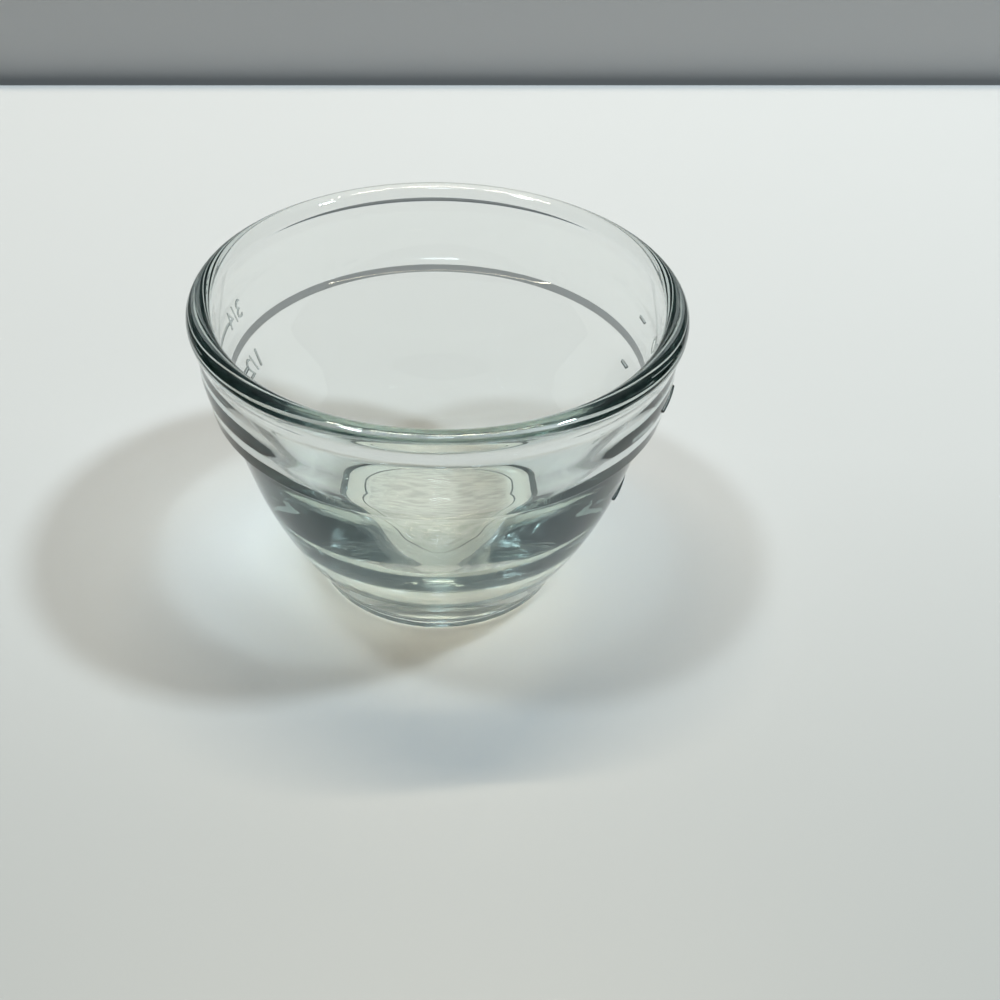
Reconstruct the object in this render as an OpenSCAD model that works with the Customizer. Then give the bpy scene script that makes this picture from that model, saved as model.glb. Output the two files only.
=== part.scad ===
// Prep bowl of clear pressed glass, for measuring and mixing small amounts.
// One turned pressing: a thick round rim, a stepped band under it, a body that curves in
// towards a low foot, and a heavy floor. Raised measuring lines stand on its outer face.
// The bowl stands on its foot with its axis on Z. Lengths are in millimetres.

/* [Rim] */
// Outer diameter over the rim bead
rim_d = 101.6; // [92:0.2:112]
// Height from the foot to the top of the rim
bowl_h = 69.1; // [64:0.1:76]
// Thickness of the round rim bead
rim_bead = 5.2; // [4.7:0.1:6]
// How far the bead stands out from the band below it
rim_overhang = 1.1; // [0.6:0.1:1.7]
// Radius of the hollow neck between bead and band
neck_r = 1.5; // [0.9:0.1:2.1]

/* [Band] */
// Depth of the ledge under the band, measured from the top of the rim
ledge_drop = 20.5; // [18:0.1:23]
// How far the ledge stands out from the body
ledge_w = 1.7; // [1.2:0.1:2.3]
// Height of the slanted face under the ledge
ledge_slope_h = 1.2; // [0.9:0.1:2]
// Height of the tapered strip that rises from the ledge
strip_h = 7.4; // [5.5:0.1:9.5]
// How much the strip draws in towards the ledge
strip_inset = 1.6; // [0.6:0.1:2.1]
// How much the plain band above the strip draws in
band_inset = 0.4; // [0.1:0.05:0.8]
// Rounding of the ledge's edge
ledge_edge_r = 0.4; // [0.2:0.05:0.7]
// Hollow rounding where the ledge meets the body
ledge_root_r = 0.4; // [0.2:0.05:0.8]

/* [Body] */
// Lean of the straight upper body, in degrees from upright
body_lean = 14.5; // [12:0.5:17]
// Height of the straight body under the ledge's slanted face
straight_h = 15.3; // [10:0.1:20]
// Radius of the curve that draws the body in towards the foot
body_curve_r = 92; // [84:1:112]

/* [Inside] */
// Thickness of the floor
floor_t = 7.5; // [6:0.1:9]
// Radius of the round corner between floor and wall
floor_corner_r = 31; // [24:0.5:36]
// Lean of the inner face at the mouth, in degrees from upright
mouth_lean = 2; // [1:0.5:6]
// Depth below the rim at which the inner face bends inwards
mouth_h = 15.5; // [13.5:0.1:20]
// Lean of the inner face below the bend, in degrees from upright
inner_lean = 21.5; // [18:0.5:22.5]
// Radius of the bend, which makes the wall thicker downwards
inner_bend_r = 60; // [40:1:72]

/* [Foot] */
// Height of the upright foot
foot_h = 3.2; // [2.2:0.1:4.2]
// How much the foot draws in towards the table
foot_inset = 0.75; // [0.3:0.05:1.2]
// Width of the ring that the bowl stands on, with its rounded edges
foot_ring_w = 6.2; // [5:0.1:10]
// Depth of the hollow under the floor
recess_h = 0.9; // [0.4:0.1:1.6]
// Rounding of the foot's outer edge
foot_edge_r = 1.1; // [0.5:0.1:1.5]

/* [Measuring lines] */
// Depth of the quarter cup line below the ledge
quarter_drop = 19.2; // [17:0.1:23]
// Depth of the half cup line below the ledge
half_drop = 5.5; // [4:0.1:8]
// Height of the three quarter cup line above the ledge
three_quarter_rise = 5.8; // [4.5:0.1:7]
// Height of one raised line
line_w = 0.75; // [0.5:0.05:1.1]
// How far a line stands out of the glass
line_rise = 0.45; // [0.2:0.05:0.65]
// Length of a long line, along the bowl's face
long_line = 9.6; // [6:0.2:13]
// Length of a short line, along the bowl's face
short_line = 3.2; // [2:0.2:5]
// Direction of the middle of the cup scale's lines, in degrees
cup_scale_turn = 177; // [170:1:184]
// Direction of the middle of the metric scale's long lines, in degrees
metric_long_turn = -17.5; // [-26:0.5:-8]
// Direction of the middle of the metric scale's short lines, in degrees
metric_short_turn = 18; // [12:1:26]

/* [Hidden] */
$fn = 96;

glass_tint = [0.80, 0.87, 0.85, 0.45];
line_tint = [0.66, 0.75, 0.74, 0.8];

fine_steps = 6;
bead_steps = 40;
curve_steps = 12;

bead_r = rim_bead / 2;
ledge_z = bowl_h - ledge_drop;
bead_centre = [rim_d / 2 - bead_r, bowl_h - bead_r];
band_top = [rim_d / 2 - rim_overhang, bead_centre.y];
strip_top = [band_top.x - band_inset, ledge_z + strip_h];
ledge_edge = [strip_top.x - strip_inset, ledge_z];
body_top = [ledge_edge.x - ledge_w, ledge_z - ledge_slope_h];
curve_top = body_top - straight_h * [tan(body_lean), 1];
curve_centre = curve_top - body_curve_r * outward(body_lean);
foot_lean = asin((curve_centre.y - foot_h) / body_curve_r);
foot_top = curve_centre + body_curve_r * outward(foot_lean);
foot_r = foot_top.x - foot_inset;
recess_r = foot_r - foot_ring_w;

mouth_edge = bead_centre + bead_r * turned(180 - mouth_lean);
inner_bend = mouth_edge + (mouth_h - bead_r) / cos(mouth_lean) * downward(mouth_lean);
floor_edge = inner_bend + (inner_bend.y - floor_t) / cos(inner_lean) * downward(inner_lean);
axis_floor = [0, floor_t];

line_heights = [ledge_z - quarter_drop, ledge_z - half_drop, ledge_z + three_quarter_rise];

// Unit vector at an angle from the X axis
function turned(angle) = [cos(angle), sin(angle)];

// Unit vector straight out of a wall that leans outwards by an angle
function outward(lean) = [cos(lean), -sin(lean)];

// Unit vector down along a wall that leans outwards by an angle
function downward(lean) = [-sin(lean), -cos(lean)];

// Points along an arc from one angle to another
function arc(centre, r, from, to, steps) =
    [for (i = [0 : steps]) centre + r * turned(from + (to - from) * i / steps)];

// Points of a rounded corner between the outline's neighbouring points
function rounded(before, corner, after, r, steps) =
    let (
        a = (before - corner) / norm(before - corner),
        b = (after - corner) / norm(after - corner),
        half = acos(a * b) / 2,
        centre = corner + (a + b) / norm(a + b) * r / sin(half),
        start = corner + a * r / tan(half) - centre,
        end = corner + b * r / tan(half) - centre,
        from = atan2(start.y, start.x),
        sweep = (atan2(end.y, end.x) - from + 540) % 360 - 180
    )
    arc(centre, r, from, from + sweep, steps);

// Hollow neck between the band and the bead, from the band up to the bead
function neck() =
    let (
        run = (band_top - strip_top) / norm(band_top - strip_top),
        out = [run.y, -run.x],
        side = strip_top + neck_r * out - bead_centre,
        along = side * run,
        reach = -along - sqrt(pow(along, 2) - side * side + pow(neck_r + bead_r, 2)),
        centre = strip_top + neck_r * out + reach * run,
        to_bead = bead_centre - centre,
        from = atan2(-out.y, -out.x)
    )
    arc(centre, neck_r, from, atan2(to_bead.y, to_bead.x), curve_steps);

// Angle at which the neck reaches the bead, seen from the bead's centre
function bead_start() =
    let (
        last = neck()[curve_steps] - bead_centre
    )
    atan2(last.y, last.x);

// Half section of the glass: up the outer face, over the rim and down the inner face
module bowl_section() {
    polygon(concat(
        [[0, recess_h]],
        rounded([0, recess_h], [recess_r, recess_h], [recess_r + recess_h, 0], recess_h, fine_steps),
        rounded([recess_r, recess_h], [recess_r + recess_h, 0], [foot_r, 0], recess_h, fine_steps),
        rounded([recess_r + recess_h, 0], [foot_r, 0], foot_top, foot_edge_r, fine_steps),
        arc(curve_centre, body_curve_r, -foot_lean, -body_lean, curve_steps),
        rounded(curve_top, body_top, ledge_edge, ledge_root_r, fine_steps),
        rounded(body_top, ledge_edge, strip_top, ledge_edge_r, fine_steps),
        [strip_top],
        neck(),
        arc(bead_centre, bead_r, bead_start(), 180 - mouth_lean, bead_steps),
        rounded(mouth_edge, inner_bend, floor_edge, inner_bend_r, curve_steps),
        rounded(inner_bend, floor_edge, axis_floor, floor_corner_r, curve_steps),
        [axis_floor]
    ));
}

// Radius of the outer face at a height: in the band, its strip, the straight body or the curve
function face_r(z) =
    z > strip_top.y ? strip_top.x + (z - strip_top.y) * band_inset / (band_top.y - strip_top.y)
    : z > ledge_z ? ledge_edge.x + (z - ledge_z) * strip_inset / strip_h
    : z > curve_top.y ? body_top.x - (body_top.y - z) * tan(body_lean)
    : curve_centre.x + sqrt(pow(body_curve_r, 2) - pow(z - curve_centre.y, 2));

// One raised line of a given length, centred on a height and a direction
module raised_line(z, turn, length) {
    low = [face_r(z - line_w / 2), z - line_w / 2];
    high = [face_r(z + line_w / 2), z + line_w / 2];
    out = [high.y - low.y, low.x - high.x] / norm(high - low);
    sweep = length / face_r(z) * 180 / PI;
    taper = line_rise / 2;
    rotate([0, 0, turn - sweep / 2])
        rotate_extrude(angle = sweep)
            polygon([
                low,
                low + line_rise * out + [0, taper],
                high + line_rise * out - [0, taper],
                high
            ]);
}

module bowl() {
    color(glass_tint)
        rotate_extrude()
            bowl_section();
}

// Lines of the cup scale, at a quarter, a half and three quarters of a cup
module cup_scale_lines() {
    color(line_tint)
        for (z = line_heights)
            raised_line(z, cup_scale_turn, long_line);
}

// Lines of the metric scale: a long one and a short one at each level
module metric_scale_lines() {
    color(line_tint)
        for (z = line_heights) {
            raised_line(z, metric_long_turn, long_line);
            raised_line(z, metric_short_turn, short_line);
        }
}

bowl();
cup_scale_lines();
metric_scale_lines();
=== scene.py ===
# %% [markdown]
# # A prep bowl of pressed glass
# This notebook dresses one small kitchen bowl. The bowl is a single pressing of clear glass: a round
# rim, a stepped band under it, a body that draws in to a low foot, and raised marks for measuring.
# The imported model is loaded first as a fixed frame. All sizes are in metres and agree with that frame.

# %% Load the frame
import math

import bmesh
import bpy
from mathutils import Matrix, Vector


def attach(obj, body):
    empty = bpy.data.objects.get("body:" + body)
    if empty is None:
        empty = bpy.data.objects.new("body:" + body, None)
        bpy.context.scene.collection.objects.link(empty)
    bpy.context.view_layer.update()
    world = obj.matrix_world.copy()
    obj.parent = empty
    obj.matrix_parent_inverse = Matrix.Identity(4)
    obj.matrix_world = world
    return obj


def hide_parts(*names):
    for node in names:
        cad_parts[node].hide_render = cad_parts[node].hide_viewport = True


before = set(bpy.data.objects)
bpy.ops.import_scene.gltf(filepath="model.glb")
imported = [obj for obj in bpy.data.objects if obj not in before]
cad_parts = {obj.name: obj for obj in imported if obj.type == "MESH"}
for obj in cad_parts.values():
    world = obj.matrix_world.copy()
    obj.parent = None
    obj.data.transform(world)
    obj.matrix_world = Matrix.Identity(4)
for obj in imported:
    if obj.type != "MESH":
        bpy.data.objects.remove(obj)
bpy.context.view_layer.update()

MM = 0.001


def mm(value):
    """A length in millimetres, as Blender's metres."""
    return value * MM


# %% [markdown]
# ## The camera
# The photograph looks down into the bowl from the front. A camera could be aimed with a Track To
# constraint, but a matrix keeps the slight roll of the hand that held the real camera. The three
# angles are turned into the camera's own axes: right, up and backwards.

# %% Camera axes from three angles
FOCAL_PX = 1250.0
PICTURE_PX = 1000.0
CAMERA_PITCH = math.radians(39.83)
CAMERA_YAW = math.radians(1.28)
CAMERA_ROLL = math.radians(2.58)
CAMERA_PLACE = Vector((mm(9.1), mm(-221.9), mm(199.2)))


def camera_axes(pitch, yaw, roll):
    """Right, up and forward of a camera that looks along +Y and down."""
    forward = Vector((math.sin(yaw) * math.cos(pitch), math.cos(yaw) * math.cos(pitch), -math.sin(pitch)))
    level_right = Vector((math.cos(yaw), -math.sin(yaw), 0))
    level_up = level_right.cross(forward)
    right = math.cos(roll) * level_right + math.sin(roll) * level_up
    up = -math.sin(roll) * level_right + math.cos(roll) * level_up
    return right, up, forward


right, up, forward = camera_axes(CAMERA_PITCH, CAMERA_YAW, CAMERA_ROLL)
print("the camera looks along", [round(c, 3) for c in forward])

# %% Camera object
camera_data = bpy.data.cameras.new("camera")
camera_data.sensor_width = 36
camera_data.lens = FOCAL_PX / PICTURE_PX * camera_data.sensor_width
camera_data.clip_start = 0.01
camera = bpy.data.objects.new("camera", camera_data)
bpy.context.collection.objects.link(camera)
turn = Matrix((right, up, -forward)).transposed().to_4x4()
turn.translation = CAMERA_PLACE
camera.matrix_world = turn
bpy.context.scene.camera = camera
print("lens", round(camera_data.lens, 1), "mm")

# %% [markdown]
# ## The outline of the glass
# A pressed bowl is round, so its whole shape is one outline turned about the axis. The outline could
# be drawn by hand as a curve. Here it is worked out from named sizes, so that each rounding meets
# its neighbours exactly. That matters for glass: a kink that paint would hide shows as a false line
# when light bends through it. The sizes are those of the construction. Five of them were trimmed
# for the look, each by less than half a millimetre of surface: neck radius, ledge width, inset of
# the strip, lean of the inner face and depth of the hollow.

# %% Sizes of the bowl in millimetres
RIM_D = 101.6
BOWL_H = 69.1
RIM_BEAD = 5.2
RIM_OVERHANG = 1.1
NECK_R = 8
LEDGE_Z = BOWL_H - 20.5
LEDGE_W = 2.05
LEDGE_SLOPE_H = 1.2
STRIP_H = 7.4
STRIP_INSET = 1.25
BAND_INSET = 0.4
LEDGE_EDGE_R = 0.4
LEDGE_ROOT_R = 0.4
BODY_LEAN = 14.5
STRAIGHT_H = 15.3
BODY_CURVE_R = 92
FLOOR_T = 7.5
FLOOR_CORNER_R = 31
MOUTH_LEAN = 2
MOUTH_H = 15.5
INNER_LEAN = 21.1
INNER_BEND_R = 60
FOOT_H = 3.2
FOOT_INSET = 0.75
FOOT_RING_W = 6.2
RECESS_H = 0.55
FOOT_EDGE_R = 1.1
print("rim", RIM_D, "mm across,", BOWL_H, "mm high")


# %% Helpers that draw an outline
def turned(degrees):
    """Unit vector at an angle from the X axis."""
    return Vector((math.cos(math.radians(degrees)), math.sin(math.radians(degrees))))


def outward(lean):
    """Unit vector straight out of a wall that leans outwards."""
    return Vector((math.cos(math.radians(lean)), -math.sin(math.radians(lean))))


def downward(lean):
    """Unit vector down along a wall that leans outwards."""
    return Vector((-math.sin(math.radians(lean)), -math.cos(math.radians(lean))))


def angle_of(vector):
    """Angle of a vector from the X axis, in degrees."""
    return math.degrees(math.atan2(vector.y, vector.x))


def arc(centre, radius, start, end, steps):
    """Points along an arc from one angle to another."""
    return [centre + radius * turned(start + (end - start) * i / steps) for i in range(steps + 1)]


def rounded(before, corner, after, radius, steps):
    """Arc that rounds a corner between its two neighbours."""
    a = (before - corner).normalized()
    b = (after - corner).normalized()
    half = math.acos(a.dot(b)) / 2
    centre = corner + (a + b).normalized() * (radius / math.sin(half))
    start = angle_of(corner + a * (radius / math.tan(half)) - centre)
    end = angle_of(corner + b * (radius / math.tan(half)) - centre)
    sweep = (end - start + 540) % 360 - 180
    return arc(centre, radius, start, start + sweep, steps)


sample_corner = rounded(Vector((0, 1)), Vector((0, 0)), Vector((1, 0)), 0.2, 6)
print("a right corner rounds to", len(sample_corner), "points")

# %% Steps along each rounding
RECESS_STEPS = 8
FOOT_STEPS = 12
BODY_STEPS = 40
ROOT_STEPS = 8
EDGE_STEPS = 10
NECK_STEPS = 16
BEAD_STEPS = 64
BEND_STEPS = 24
CORNER_STEPS = 40
print("the bead has", BEAD_STEPS, "steps, because the glass shows every facet of it")

# %% Places that the outline passes
bead_r = RIM_BEAD / 2
bead_centre = Vector((RIM_D / 2 - bead_r, BOWL_H - bead_r))
band_top = Vector((RIM_D / 2 - RIM_OVERHANG, bead_centre.y))
strip_top = Vector((band_top.x - BAND_INSET, LEDGE_Z + STRIP_H))
ledge_edge = Vector((strip_top.x - STRIP_INSET, LEDGE_Z))
body_top = Vector((ledge_edge.x - LEDGE_W, LEDGE_Z - LEDGE_SLOPE_H))
curve_top = body_top - STRAIGHT_H * Vector((math.tan(math.radians(BODY_LEAN)), 1))
curve_centre = curve_top - BODY_CURVE_R * outward(BODY_LEAN)
foot_lean = math.degrees(math.asin((curve_centre.y - FOOT_H) / BODY_CURVE_R))
foot_top = curve_centre + BODY_CURVE_R * outward(foot_lean)
foot_r = foot_top.x - FOOT_INSET
recess_r = foot_r - FOOT_RING_W
print("ledge at", tuple(round(c, 2) for c in ledge_edge), "foot radius", round(foot_r, 2))

# %% The hollow neck under the bead
run = (band_top - strip_top).normalized()
band_out = Vector((run.y, -run.x))
side = strip_top + NECK_R * band_out - bead_centre
along = side.dot(run)
reach = -along - math.sqrt(along ** 2 - side.dot(side) + (NECK_R + bead_r) ** 2)
neck_centre = strip_top + NECK_R * band_out + reach * run
neck = arc(neck_centre, NECK_R, angle_of(-band_out), angle_of(bead_centre - neck_centre), NECK_STEPS)
bead_start = angle_of(neck[-1] - bead_centre)
print("the neck is deepest at", tuple(round(c, 2) for c in neck[0]))

# %% The inner face
mouth_edge = bead_centre + bead_r * turned(180 - MOUTH_LEAN)
mouth_length = (MOUTH_H - bead_r) / math.cos(math.radians(MOUTH_LEAN))
inner_bend = mouth_edge + mouth_length * downward(MOUTH_LEAN)
wall_length = (inner_bend.y - FLOOR_T) / math.cos(math.radians(INNER_LEAN))
floor_edge = inner_bend + wall_length * downward(INNER_LEAN)
print("without its round corner the floor inside would be", round(2 * floor_edge.x, 1), "mm across")

# %% The whole outline, from under the floor out, up, over and in
AXIS_LOW = Vector((0, RECESS_H))
AXIS_FLOOR = Vector((0, FLOOR_T))
ring_in = Vector((recess_r, RECESS_H))
ring_low = Vector((recess_r + RECESS_H, 0))
foot_low = Vector((foot_r, 0))
bends = (
    [AXIS_LOW]
    + rounded(AXIS_LOW, ring_in, ring_low, RECESS_H, RECESS_STEPS)
    + rounded(ring_in, ring_low, foot_low, RECESS_H, RECESS_STEPS)
    + rounded(ring_low, foot_low, foot_top, FOOT_EDGE_R, FOOT_STEPS)
    + arc(curve_centre, BODY_CURVE_R, -foot_lean, -BODY_LEAN, BODY_STEPS)
    + rounded(curve_top, body_top, ledge_edge, LEDGE_ROOT_R, ROOT_STEPS)
    + rounded(body_top, ledge_edge, strip_top, LEDGE_EDGE_R, EDGE_STEPS)
    + [strip_top]
    + neck
    + arc(bead_centre, bead_r, bead_start, 180 - MOUTH_LEAN, BEAD_STEPS)
    + rounded(mouth_edge, inner_bend, floor_edge, INNER_BEND_R, BEND_STEPS)
    + rounded(inner_bend, floor_edge, AXIS_FLOOR, FLOOR_CORNER_R, CORNER_STEPS)
    + [AXIS_FLOOR]
)
print("bends of", len(bends), "points")

# %% Long straight runs cut into shorter ones
SAME_PLACE = 0.0005
LONGEST_RUN = 1.6


def spaced(points, longest):
    """The same outline with long straight runs cut into shorter ones, and no point twice."""
    result = [points[0]]
    for point in points[1:]:
        step = point - result[-1]
        if step.length < SAME_PLACE:
            continue
        cuts = math.ceil(step.length / longest)
        start = result[-1]
        result += [start + step * i / cuts for i in range(1, cuts + 1)]
    return result


outline = spaced(bends, LONGEST_RUN)
print("outline of", len(outline), "points")

# %% [markdown]
# ## How much the bowl holds
# The marks on the glass stand for a quarter, a half and three quarters of a cup, so the inner shape
# can be tested against them. Each slice of the inside is part of a cone. Adding the slices up from
# the floor gives the height that each amount reaches.

# %% Heights that the marked amounts reach
CUP_PARTS_ML = (59, 118, 177, 237)
MM3_PER_ML = 1000
rim_index = max(range(len(outline)), key=lambda i: outline[i].y)
inner_points = outline[:rim_index - 1:-1]
fill = 0.0
for low, high in zip(inner_points, inner_points[1:]):
    before = fill
    fill += math.pi * (low.x ** 2 + low.x * high.x + high.x ** 2) / 3 * (high.y - low.y) / MM3_PER_ML
    for amount in CUP_PARTS_ML:
        if before < amount <= fill:
            print(amount, "ml reaches", round(high.y, 1), "mm")
print("brim", round(fill), "ml")

# %% [markdown]
# ## Turning the outline
# Blender's Screw modifier would turn the outline too. Geometry Nodes show the rule openly: take a
# grid, let its rows be the points of the outline and its columns the steps round the axis, and set
# each place by turning an outline point. Merging closes the seam and the two points on the axis.

# %% Geometry nodes that turn an outline
MERGE_REACH = mm(0.0002)
STEPS_ROUND = 256


def lathe_tree():
    """Geometry nodes that turn the points of an outline round the Z axis."""
    tree = bpy.data.node_groups.new("turn an outline", "GeometryNodeTree")
    face = tree.interface
    face.new_socket("Geometry", in_out="INPUT", socket_type="NodeSocketGeometry")
    steps_round = face.new_socket("Steps round", in_out="INPUT", socket_type="NodeSocketInt")
    steps_round.default_value = STEPS_ROUND
    face.new_socket("Glass", in_out="INPUT", socket_type="NodeSocketMaterial")
    face.new_socket("Geometry", in_out="OUTPUT", socket_type="NodeSocketGeometry")

    def add(kind, **settings):
        node = tree.nodes.new(kind)
        for key, value in settings.items():
            setattr(node, key, value)
        return node

    def maths(operation, a, b):
        node = add("ShaderNodeMath", operation=operation)
        for socket, value in zip(node.inputs, (a, b)):
            if hasattr(value, "is_output"):
                tree.links.new(value, socket)
            else:
                socket.default_value = value
        return node.outputs[0]

    link = tree.links.new
    given = add("NodeGroupInput")
    size = add("GeometryNodeAttributeDomainSize", component="MESH")
    link(given.outputs["Geometry"], size.inputs["Geometry"])
    columns = maths("ADD", given.outputs["Steps round"], 1)
    grid = add("GeometryNodeMeshGrid")
    link(size.outputs["Point Count"], grid.inputs["Vertices X"])
    link(columns, grid.inputs["Vertices Y"])
    index = add("GeometryNodeInputIndex").outputs["Index"]
    row = maths("FLOOR", maths("DIVIDE", maths("ADD", index, 0.5), columns), 0)
    column = maths("SUBTRACT", index, maths("MULTIPLY", row, columns))
    angle = maths("DIVIDE", maths("MULTIPLY", column, math.tau), given.outputs["Steps round"])
    sample = add("GeometryNodeSampleIndex", data_type="FLOAT_VECTOR", domain="POINT")
    link(given.outputs["Geometry"], sample.inputs["Geometry"])
    link(add("GeometryNodeInputPosition").outputs["Position"], sample.inputs["Value"])
    link(row, sample.inputs["Index"])
    spin = add("ShaderNodeVectorRotate", rotation_type="Z_AXIS")
    link(sample.outputs["Value"], spin.inputs["Vector"])
    link(angle, spin.inputs["Angle"])
    place = add("GeometryNodeSetPosition")
    link(grid.outputs["Mesh"], place.inputs["Geometry"])
    link(spin.outputs["Vector"], place.inputs["Position"])
    close = add("GeometryNodeMergeByDistance")
    close.inputs["Distance"].default_value = MERGE_REACH
    link(place.outputs["Geometry"], close.inputs["Geometry"])
    real = add("GeometryNodeRealizeInstances")
    link(close.outputs["Geometry"], real.inputs["Geometry"])
    finish = add("GeometryNodeSetMaterial")
    link(real.outputs["Geometry"], finish.inputs["Geometry"])
    link(given.outputs["Glass"], finish.inputs["Material"])
    link(finish.outputs["Geometry"], add("NodeGroupOutput").inputs[0])
    return tree


turn_outline = lathe_tree()
print("tree of", len(turn_outline.nodes), "nodes")

# %% [markdown]
# ## The glass
# Clear soda-lime glass bends light by an index of about 1.52, and a Principled shader with full
# transmission does that. What makes the glass grey-green where it is thick is a volume that takes a
# little light from every millimetre. The thin wall stays clear, and light that runs round inside the
# rim comes out nearly black, as on the real bowl. Pressed glass also cools with soft ripples, so a
# very low bump moves its reflections a little.

# %% Soft ripples of pressed glass
def ripple_group():
    """Shared effect: slow ripples, as a height."""
    group = bpy.data.node_groups.new("pressed ripple", "ShaderNodeTree")
    face = group.interface
    face.new_socket("Vector", in_out="INPUT", socket_type="NodeSocketVector")
    face.new_socket("Scale", in_out="INPUT", socket_type="NodeSocketFloat").default_value = 60
    face.new_socket("Height", in_out="OUTPUT", socket_type="NodeSocketFloat")
    given = group.nodes.new("NodeGroupInput")
    noise = group.nodes.new("ShaderNodeTexNoise")
    noise.inputs["Detail"].default_value = 1
    noise.inputs["Roughness"].default_value = 0.4
    result = group.nodes.new("NodeGroupOutput")
    group.links.new(given.outputs["Vector"], noise.inputs["Vector"])
    group.links.new(given.outputs["Scale"], noise.inputs["Scale"])
    group.links.new(noise.outputs["Fac"], result.inputs["Height"])
    return group


pressed_ripple = ripple_group()
print("ripple group of", len(pressed_ripple.nodes), "nodes")

# %% [markdown]
# ## The rough hollow
# The mould leaves the hollow under the floor rough, and the photograph shows it through the glass as
# pale strokes. Modelling the strokes would take thousands of faces. A stretched noise that counts
# only low down and near the axis gives the same look, for the bump and for a slightly darker tint.

# %% Strokes in the hollow under the floor
UNDER_RADIUS = mm(20.5)
UNDER_HEIGHT = mm(1.2)
UNDER_TINT = 0.72
UNDER_RELIEF = 10.0
STROKE_SCALE = 210
STROKE_STRETCH = (1, 3, 1)
STROKE_FROM, STROKE_TO = 0.44, 0.6


def underside_group():
    """Shared effect: strokes in the hollow, as a height that is nought elsewhere."""
    group = bpy.data.node_groups.new("rough underside", "ShaderNodeTree")
    group.interface.new_socket("Vector", in_out="INPUT", socket_type="NodeSocketVector")
    group.interface.new_socket("Height", in_out="OUTPUT", socket_type="NodeSocketFloat")
    link = group.links.new

    def step(kind, operation, first, second=None):
        node = group.nodes.new(kind)
        node.operation = operation
        link(first, node.inputs[0])
        if hasattr(second, "is_output"):
            link(second, node.inputs[1])
        elif second is not None:
            node.inputs[1].default_value = second
        return node.outputs

    place = group.nodes.new("NodeGroupInput").outputs["Vector"]
    flat = step("ShaderNodeVectorMath", "MULTIPLY", place, (1, 1, 0))["Vector"]
    radius = step("ShaderNodeVectorMath", "LENGTH", flat)["Value"]
    near_axis = step("ShaderNodeMath", "LESS_THAN", radius, UNDER_RADIUS)["Value"]
    parts = group.nodes.new("ShaderNodeSeparateXYZ")
    link(place, parts.inputs["Vector"])
    low_down = step("ShaderNodeMath", "LESS_THAN", parts.outputs["Z"], UNDER_HEIGHT)["Value"]
    mask = step("ShaderNodeMath", "MULTIPLY", near_axis, low_down)["Value"]
    noise = group.nodes.new("ShaderNodeTexNoise")
    noise.inputs["Scale"].default_value = STROKE_SCALE
    noise.inputs["Detail"].default_value = 2
    stretched = step("ShaderNodeVectorMath", "MULTIPLY", place, STROKE_STRETCH)["Vector"]
    link(stretched, noise.inputs["Vector"])
    height = step("ShaderNodeMath", "MULTIPLY", noise.outputs["Fac"], mask)["Value"]
    link(height, group.nodes.new("NodeGroupOutput").inputs["Height"])
    return group


rough_underside = underside_group()
print("underside group of", len(rough_underside.nodes), "nodes")

# %% [markdown]
# ## A shadow that lets light through
# To a renderer that looks for a lamp, a glass wall is in the way, so a glass bowl gets a black
# shadow. The real one casts a ring with a bright middle: the curved body passes light on, the thick
# band and the rim throw it aside, and the foot dims it. Tracing that exactly takes very many samples.
# Here shadow rays alone meet a transparent shader, whose tone follows the height in the glass and
# falls a little where they run along a wall.

# %% What shadow rays meet
SHADOW_BY_FACING = ((0.3, (0.7, 0.71, 0.71)), (0.55, (0.62, 0.63, 0.63)))
LETS_THROUGH = (
    (0.17, (0.52, 0.49, 0.42)),
    (0.4, (1, 1, 1)),
    (0.54, (1, 1, 1)),
    (0.61, (0.09, 0.085, 0.08)),
)


def set_stops(ramp, stops):
    """Gives a colour ramp its stops: places from nought to one, with a colour each."""
    for number, (share, colour) in enumerate(stops):
        stop = ramp.elements[number] if number < 2 else ramp.elements.new(share)
        stop.position = share
        stop.color = (*colour, 1)


def let_light_through(material, shader):
    """Mixes a transparent shader in for shadow rays, by angle and by height."""
    nodes, link = material.node_tree.nodes, material.node_tree.links.new
    facing = nodes.new("ShaderNodeLayerWeight")
    facing.inputs["Blend"].default_value = 0.5
    shade = nodes.new("ShaderNodeValToRGB")
    shade.color_ramp.interpolation = "EASE"
    set_stops(shade.color_ramp, SHADOW_BY_FACING)
    split = nodes.new("ShaderNodeSeparateXYZ")
    height = nodes.new("ShaderNodeMapRange")
    height.inputs["From Max"].default_value = mm(BOWL_H)
    zones = nodes.new("ShaderNodeValToRGB")
    set_stops(zones.color_ramp, LETS_THROUGH)
    fade = nodes.new("ShaderNodeVectorMath")
    fade.operation = "MULTIPLY"
    through = nodes.new("ShaderNodeBsdfTransparent")
    mix = nodes.new("ShaderNodeMixShader")
    link(facing.outputs["Facing"], shade.inputs["Fac"])
    link(nodes.new("ShaderNodeTexCoord").outputs["Object"], split.inputs["Vector"])
    link(split.outputs["Z"], height.inputs["Value"])
    link(height.outputs["Result"], zones.inputs["Fac"])
    link(shade.outputs["Color"], fade.inputs[0])
    link(zones.outputs["Color"], fade.inputs[1])
    link(fade.outputs["Vector"], through.inputs["Color"])
    link(nodes.new("ShaderNodeLightPath").outputs["Is Shadow Ray"], mix.inputs["Fac"])
    link(shader.outputs["BSDF"], mix.inputs[1])
    link(through.outputs["BSDF"], mix.inputs[2])
    link(mix.outputs["Shader"], nodes["Material Output"].inputs["Surface"])


print("shadow zones", len(LETS_THROUGH))

# %% [markdown]
# ## The glass material
# One function makes both glasses, the clear one and the greyer one of the raised marks. The shader,
# the absorbing volume and the shadow trick stay in the material itself. The groups above feed only
# its bump and its colour.

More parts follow.
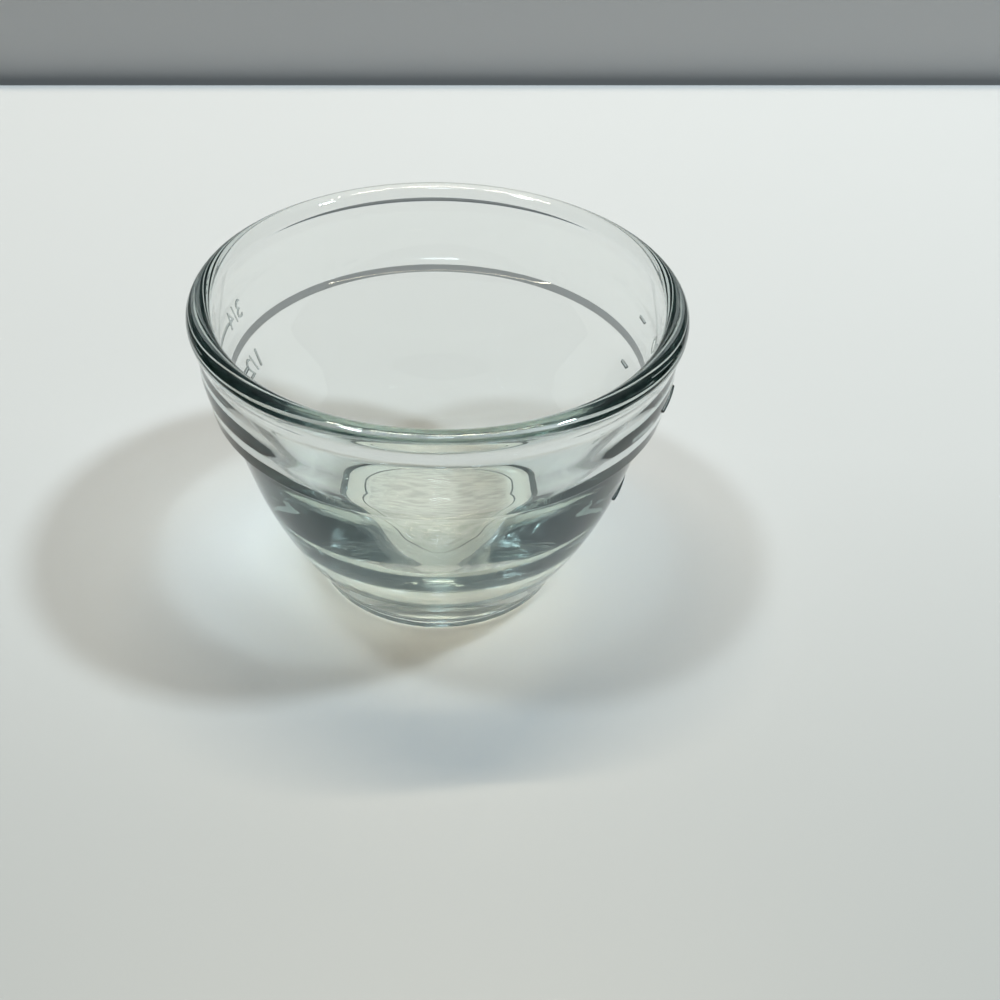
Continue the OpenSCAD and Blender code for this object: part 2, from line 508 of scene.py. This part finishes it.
# %% Glass material
GLASS_INDEX = 1.52
DEPTH_COLOUR = (0.79, 0.84, 0.83, 1)
DEPTH_DENSITY = 48
RIPPLE_SCALE = 90
RELIEF_DEPTH = mm(0.5)
RELIEF_STRENGTH = 0.06
CLEAR_TINT = (0.992, 0.995, 0.985)
MARK_TINT = (0.62, 0.66, 0.66)


def glass_material(name, tint):
    """Glass of one tint, with ripples, strokes underneath and a shadow that lets light through."""
    material = bpy.data.materials.new(name)
    material.use_nodes = True
    nodes, link = material.node_tree.nodes, material.node_tree.links.new
    shader = nodes["Principled BSDF"]
    shader.inputs["Roughness"].default_value = 0.0
    shader.inputs["IOR"].default_value = GLASS_INDEX
    shader.inputs["Transmission Weight"].default_value = 1.0
    place = nodes.new("ShaderNodeTexCoord").outputs["Object"]
    ripple = nodes.new("ShaderNodeGroup")
    ripple.node_tree = pressed_ripple
    ripple.inputs["Scale"].default_value = RIPPLE_SCALE
    under = nodes.new("ShaderNodeGroup")
    under.node_tree = rough_underside
    both = nodes.new("ShaderNodeMath")
    both.operation = "MULTIPLY_ADD"
    both.inputs[1].default_value = UNDER_RELIEF
    bump = nodes.new("ShaderNodeBump")
    bump.inputs["Strength"].default_value = RELIEF_STRENGTH
    bump.inputs["Distance"].default_value = RELIEF_DEPTH
    strokes = nodes.new("ShaderNodeValToRGB")
    darker = [part * UNDER_TINT for part in tint]
    set_stops(strokes.color_ramp, ((STROKE_FROM, tint), (STROKE_TO, darker)))
    link(place, ripple.inputs["Vector"])
    link(place, under.inputs["Vector"])
    link(under.outputs["Height"], both.inputs[0])
    link(ripple.outputs["Height"], both.inputs[2])
    link(both.outputs["Value"], bump.inputs["Height"])
    link(bump.outputs["Normal"], shader.inputs["Normal"])
    link(under.outputs["Height"], strokes.inputs["Fac"])
    link(strokes.outputs["Color"], shader.inputs["Base Color"])
    depth = nodes.new("ShaderNodeVolumeAbsorption")
    depth.inputs["Color"].default_value = DEPTH_COLOUR
    depth.inputs["Density"].default_value = DEPTH_DENSITY
    link(depth.outputs["Volume"], nodes["Material Output"].inputs["Volume"])
    let_light_through(material, shader)
    return material


clear_glass = glass_material("clear pressed glass", CLEAR_TINT)
mark_glass = glass_material("glass of the raised marks", MARK_TINT)
print("made", clear_glass.name, "and", mark_glass.name)


# %% Build the bowl from its outline
def as_mesh_piece(name, source):
    """A plain mesh object from an evaluated one, and the source removed."""
    graph = bpy.context.evaluated_depsgraph_get()
    mesh = bpy.data.meshes.new_from_object(source.evaluated_get(graph))
    mesh.name = name
    bpy.data.objects.remove(source)
    piece = bpy.data.objects.new(name, mesh)
    bpy.context.collection.objects.link(piece)
    return piece


outline_mesh = bpy.data.meshes.new("outline")
outline_mesh.from_pydata(
    [(mm(p.x), 0, mm(p.y)) for p in outline],
    [(i, i + 1) for i in range(len(outline) - 1)], [],
)
outline_object = bpy.data.objects.new("outline", outline_mesh)
bpy.context.collection.objects.link(outline_object)
lathe = outline_object.modifiers.new("turn", "NODES")
lathe.node_group = turn_outline
inputs = [item for item in turn_outline.interface.items_tree if item.in_out == "INPUT"]
sockets = {item.name: item.identifier for item in inputs}
lathe[sockets["Steps round"]] = STEPS_ROUND
lathe[sockets["Glass"]] = clear_glass
bowl = as_mesh_piece("glass_bowl", outline_object)
print("bowl of", len(bowl.data.polygons), "faces")


# %% Close and smooth the bowl
ML_PER_M3 = 1e6


def finish_shell(piece, smooth=True):
    """Merges doubles, turns all faces outwards and says whether the shell is closed."""
    shell = bmesh.new()
    shell.from_mesh(piece.data)
    bmesh.ops.remove_doubles(shell, verts=shell.verts, dist=MERGE_REACH)
    bmesh.ops.recalc_face_normals(shell, faces=shell.faces)
    for polygon in shell.faces:
        polygon.smooth = smooth
    open_edges = sum(1 for edge in shell.edges if len(edge.link_faces) != 2)
    volume = shell.calc_volume(signed=True)
    shell.to_mesh(piece.data)
    shell.free()
    return open_edges, volume


open_edges, glass_volume = finish_shell(bowl)
print("open edges", open_edges, "glass volume", round(glass_volume * ML_PER_M3, 2), "ml")

# %% [markdown]
# ## The raised marks
# The mould of the real bowl is cut with numbers and lines, so they stand out of the glass by less
# than half a millimetre. The numbers are plain ones: parts of a cup on one side, millilitres on the
# other. A text object gives their shape, and each of its points is then laid on the leaning outer
# face: across becomes the way round, up becomes the height, and depth goes out of the glass.

# %% The outer face at any height
def face_radius(z):
    """Radius of the outer face in millimetres, in the band, its strip or the body."""
    if z > strip_top.y:
        return strip_top.x + (z - strip_top.y) * BAND_INSET / (band_top.y - strip_top.y)
    if z > LEDGE_Z:
        return ledge_edge.x + (z - LEDGE_Z) * STRIP_INSET / STRIP_H
    if z > curve_top.y:
        return body_top.x - (body_top.y - z) * math.tan(math.radians(BODY_LEAN))
    return curve_centre.x + math.sqrt(BODY_CURVE_R ** 2 - (z - curve_centre.y) ** 2)


def face_out(z, reach=0.2):
    """Unit vector out of the outer face at a height, in the plane of the outline."""
    rise = Vector((face_radius(z + reach) - face_radius(z - reach), 2 * reach)).normalized()
    return Vector((rise.y, -rise.x))


print("outer radius under the ledge", round(face_radius(body_top.y), 2), "mm")


# %% Lay a flat shape on the face
NUMBER_HEIGHT, NUMBER_RISE, NUMBER_SINK = 4.6, 0.35, 0.12
CAPITAL_SHARE = 0.72
THINNER_STROKES = -0.05


def lay_on_face(mesh, middle_turn, middle_z):
    """Bends a flat mesh in millimetres round the bowl: X the way round, Y up, Z out."""
    base_r = face_radius(middle_z)
    base_out = face_out(middle_z)
    along = Vector((-base_out.y, base_out.x))
    for vertex in mesh.vertices:
        across, up_face, depth = vertex.co
        spot = Vector((base_r, middle_z)) + along * up_face + base_out * (depth - NUMBER_SINK)
        angle = math.radians(middle_turn) + across / base_r
        vertex.co = (mm(spot.x * math.cos(angle)), mm(spot.x * math.sin(angle)), mm(spot.y))


def number_piece(name, words, middle_turn, middle_z):
    """A raised number, from a text object."""
    text = bpy.data.curves.new(name, "FONT")
    text.body = words
    text.size = NUMBER_HEIGHT / CAPITAL_SHARE
    text.align_x = "CENTER"
    text.align_y = "CENTER"
    text.extrude = NUMBER_RISE / 2
    text.offset = THINNER_STROKES
    text.resolution_u = 3
    holder = bpy.data.objects.new(name, text)
    bpy.context.collection.objects.link(holder)
    piece = as_mesh_piece(name, holder)
    for vertex in piece.data.vertices:
        vertex.co.z += NUMBER_RISE / 2
    lay_on_face(piece.data, middle_turn, middle_z)
    return piece


# %% The numbers
NUMBER_LEVELS = (54.2, 42.2, 28.5)
CUP_NUMBERS = (("3/4", 166.5), ("1/2", 166.6), ("1/4", 164.9))
METRIC_NUMBERS = (("180", 1.0), ("120", 0.5), ("60", 0.5))
numbers = []
for scale in (CUP_NUMBERS, METRIC_NUMBERS):
    for (words, middle_turn), level in zip(scale, NUMBER_LEVELS):
        name = "number_" + words.replace("/", "_")
        numbers.append(number_piece(name, words, middle_turn, level))
for piece in numbers:
    piece.data.materials.clear()
    piece.data.materials.append(mark_glass)
    finish_shell(piece, smooth=False)
print("made", len(numbers), "numbers")

# %% [markdown]
# ## The raised lines
# Beside each number a short bar stands out of the glass. A curve with a bevel could follow the face,
# but a bar has only four long edges, so its corners are placed directly, a millimetre apart round
# the bowl. Each bar starts a little inside the glass. Two faces at the very same place would flicker.

# %% One raised line
LINE_W, LINE_RISE, LINE_SINK = 0.75, 0.45, 0.1
LONG_LINE, SHORT_LINE = 9.6, 3.2
QUARTER_DROP, HALF_DROP, THREE_QUARTER_RISE = 19.2, 5.5, 5.8
LINE_HEIGHTS = (LEDGE_Z - QUARTER_DROP, LEDGE_Z - HALF_DROP, LEDGE_Z + THREE_QUARTER_RISE)
FEWEST_STEPS = 4


def add_line(shell, middle_z, turn, length):
    """Adds a bar with slanted long edges, laid round the glass."""
    low = Vector((face_radius(middle_z - LINE_W / 2), middle_z - LINE_W / 2))
    high = Vector((face_radius(middle_z + LINE_W / 2), middle_z + LINE_W / 2))
    out = Vector((high.y - low.y, low.x - high.x)).normalized()
    slant = Vector((0, LINE_RISE / 2))
    top, sunk = LINE_RISE * out, LINE_SINK * out
    bar = (low - sunk, low + top + slant, high + top - slant, high - sunk)
    steps = max(FEWEST_STEPS, round(length))
    rows = []
    for step in range(steps + 1):
        angle = math.radians(turn) + length / face_radius(middle_z) * (step / steps - 0.5)
        way = (math.cos(angle), math.sin(angle))
        rows.append([shell.verts.new((mm(p.x) * way[0], mm(p.x) * way[1], mm(p.y))) for p in bar])
    for near, far in zip(rows, rows[1:]):
        for i in range(4):
            shell.faces.new((near[i], near[(i + 1) % 4], far[(i + 1) % 4], far[i]))
    shell.faces.new(rows[0])
    shell.faces.new(rows[-1][::-1])


# %% The lines of both scales
def lines_piece(name, lines):
    """One piece of all the bars of a scale, each given by its turn and length."""
    shell = bmesh.new()
    for middle_z in LINE_HEIGHTS:
        for turn, length in lines:
            add_line(shell, middle_z, turn, length)
    mesh = bpy.data.meshes.new(name)
    shell.to_mesh(mesh)
    shell.free()
    mesh.materials.append(mark_glass)
    piece = bpy.data.objects.new(name, mesh)
    bpy.context.collection.objects.link(piece)
    print(name, "has", finish_shell(piece, smooth=False)[0], "open edges")
    return piece


CUP_LINES = [(177, LONG_LINE)]
METRIC_LINES = [(-17.5, LONG_LINE), (18, SHORT_LINE)]
cup_lines = lines_piece("cup_lines", CUP_LINES)
metric_lines = lines_piece("metric_lines", METRIC_LINES)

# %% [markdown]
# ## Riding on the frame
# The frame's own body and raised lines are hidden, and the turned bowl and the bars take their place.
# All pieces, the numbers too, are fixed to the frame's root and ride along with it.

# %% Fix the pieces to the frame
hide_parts("bowl")
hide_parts("cup_scale_lines")
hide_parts("metric_scale_lines")
for piece in [bowl, cup_lines, metric_lines] + numbers:
    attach(piece, "root")

# %% [markdown]
# ## Table and wall
# The photograph was taken on a pale table that ends at a grey wall. Both matter to the bowl, because
# clear glass shows little but its surroundings: the ledge at the back is grey only because it bends
# the view over the table's edge to the wall. The table's colour is painted darker towards the viewer.
# This is painted shade, for the viewer stands in the light and the light falls off towards the front.

# %% Table top
FLOOR_BACK = 0.283
FLOOR_SIDE = 0.5
FLOOR_FRONT = 0.25
FLOOR_TURN = 0.0946
FLOOR_Z = mm(-0.1)
# Painted shade: the table's colour darkens from the back towards the viewer, between these two places
# along Y.
PAINTED_SHADE_NEAR, PAINTED_SHADE_FAR = -0.12, 0.28
FLOOR_PAINTED_SHADE = ((0.0, (0.385, 0.39, 0.375)), (0.4, (0.55, 0.555, 0.545)), (1.0, (0.65, 0.655, 0.65)))


def plane(name, corners):
    """A single face through four corners."""
    mesh = bpy.data.meshes.new(name)
    mesh.from_pydata(corners, [], [(0, 1, 2, 3)])
    mesh.update()
    thing = bpy.data.objects.new(name, mesh)
    bpy.context.collection.objects.link(thing)
    return thing


back_left = (-FLOOR_SIDE, FLOOR_BACK - FLOOR_TURN * FLOOR_SIDE, FLOOR_Z)
back_right = (FLOOR_SIDE, FLOOR_BACK + FLOOR_TURN * FLOOR_SIDE, FLOOR_Z)
front_left, front_right = (-FLOOR_SIDE, -FLOOR_FRONT, FLOOR_Z), (FLOOR_SIDE, -FLOOR_FRONT, FLOOR_Z)
floor = plane("floor", [front_left, front_right, back_right, back_left])
print("the table ends", FLOOR_BACK, "m behind the bowl")

# %% Table material
FLOOR_ROUGHNESS = 0.4
floor_material = bpy.data.materials.new("pale table")
floor_material.use_nodes = True
floor_nodes, floor_link = floor_material.node_tree.nodes, floor_material.node_tree.links.new
floor_shader = floor_nodes["Principled BSDF"]
floor_shader.inputs["Roughness"].default_value = FLOOR_ROUGHNESS
floor_split = floor_nodes.new("ShaderNodeSeparateXYZ")
floor_range = floor_nodes.new("ShaderNodeMapRange")
floor_range.inputs["From Min"].default_value = PAINTED_SHADE_NEAR
floor_range.inputs["From Max"].default_value = PAINTED_SHADE_FAR
# Painted shade: this ramp darkens the table's base colour towards the front, for the viewer's shadow.
floor_painted_shade = floor_nodes.new("ShaderNodeValToRGB")
set_stops(floor_painted_shade.color_ramp, FLOOR_PAINTED_SHADE)
floor_link(floor_nodes.new("ShaderNodeTexCoord").outputs["Object"], floor_split.inputs["Vector"])
floor_link(floor_split.outputs["Y"], floor_range.inputs["Value"])
floor_link(floor_range.outputs["Result"], floor_painted_shade.inputs["Fac"])
floor_link(floor_painted_shade.outputs["Color"], floor_shader.inputs["Base Color"])
floor.data.materials.append(floor_material)
print("table tones", len(FLOOR_PAINTED_SHADE))

# %% Grey wall behind the table
WALL_GAP = 0.006
WALL_FOOT = -0.05
WALL_TOP = 0.16
WALL_COLOUR = (0.5, 0.49, 0.48, 1)
wall_left = (back_left[0], back_left[1] + WALL_GAP)
wall_right = (back_right[0], back_right[1] + WALL_GAP)
wall_low = [(*wall_left, WALL_FOOT), (*wall_right, WALL_FOOT)]
wall_high = [(*wall_right, WALL_TOP), (*wall_left, WALL_TOP)]
wall = plane("backdrop", wall_low + wall_high)
wall_material = bpy.data.materials.new("grey wall")
wall_material.use_nodes = True
wall_shader = wall_material.node_tree.nodes["Principled BSDF"]
wall_shader.inputs["Base Color"].default_value = WALL_COLOUR
wall.data.materials.append(wall_material)
print("the wall is", WALL_TOP, "m high")

# %% [markdown]
# ## Lights
# The shadow in the photograph tells where the lamps were. It is two brown rings that overlap, so it
# is made by cool lamps overhead: a strong one on the right, which throws its ring to the left, a
# weaker one on the left and a faint one between them. The band of blue in front lies in the shadow of
# a warm tube behind the bowl. Each lamp colours the shadow of the others.

# %% Lights
COOL, WARM = (0.8, 0.92, 1), (1, 0.87, 0.68)
SMALL, LONG = (0.14, 0.14), (0.95, 0.04)
LAMPS = (
    ("right ceiling light", (0.85, -0.04, 1.4), SMALL, 16, COOL),
    ("middle ceiling light", (0.0, -0.1, 1.4), SMALL, 0.7, COOL),
    ("left ceiling light", (-0.5, -0.08, 1.4), SMALL, 6.9, COOL),
    ("warm tube light", (-0.05, 0.36, 1.4), LONG, 10.8, WARM),
)


def soft_light(name, place, sides, power, colour):
    """A rectangular lamp that shines on the bowl."""
    data = bpy.data.lights.new(name, "AREA")
    data.shape = "RECTANGLE"
    data.size, data.size_y = sides
    data.energy = power
    data.color = colour
    lamp = bpy.data.objects.new(name, data)
    bpy.context.collection.objects.link(lamp)
    lamp.location = place
    lamp.rotation_euler = (-Vector(place)).to_track_quat("-Z", "Y").to_euler()


for lamp in LAMPS:
    soft_light(*lamp)
print(len(LAMPS), "lamps")

# %% [markdown]
# ## The room as the glass sees it
# The dark zones at the sides of the body and the black streaks of the rim are views into the room:
# there the light is reflected whole inside the glass and comes from beside the viewer. So the world
# is nearly black at eye level, slate grey higher up and bright only overhead.

# %% World
ROOM_STOPS = (
    (0.45, (0.008, 0.01, 0.01)),
    (0.65, (0.012, 0.015, 0.016)),
    (0.75, (0.06, 0.078, 0.088)),
    (0.89, (0.075, 0.095, 0.105)),
    (0.985, (0.42, 0.45, 0.46)),
)
BRIGHTEST_WAY = (0.0, 0.3, 0.954)


def room_world():
    """A world whose tone follows how far a direction leans towards the brightest one."""
    world = bpy.data.worlds.new("room")
    world.use_nodes = True
    nodes, link = world.node_tree.nodes, world.node_tree.links.new
    lean = nodes.new("ShaderNodeVectorMath")
    lean.operation = "DOT_PRODUCT"
    lean.inputs[1].default_value = BRIGHTEST_WAY
    share = nodes.new("ShaderNodeMapRange")
    share.inputs["From Min"].default_value = -1.0
    glow = nodes.new("ShaderNodeValToRGB")
    set_stops(glow.color_ramp, ROOM_STOPS)
    link(nodes.new("ShaderNodeTexCoord").outputs["Generated"], lean.inputs[0])
    link(lean.outputs["Value"], share.inputs["Value"])
    link(share.outputs["Result"], glow.inputs["Fac"])
    link(glow.outputs["Color"], nodes["Background"].inputs["Color"])
    return world


bpy.context.scene.world = room_world()
print("world tones", len(ROOM_STOPS))

# %% Light paths
BOUNCES = 32
bpy.context.scene.view_settings.view_transform = "Standard"
bpy.context.scene.cycles.max_bounces = BOUNCES
bpy.context.scene.cycles.transmission_bounces = BOUNCES
bpy.context.scene.cycles.glossy_bounces = BOUNCES
print("light may bounce", BOUNCES, "times")

# %% Close
print("the scene is dressed")
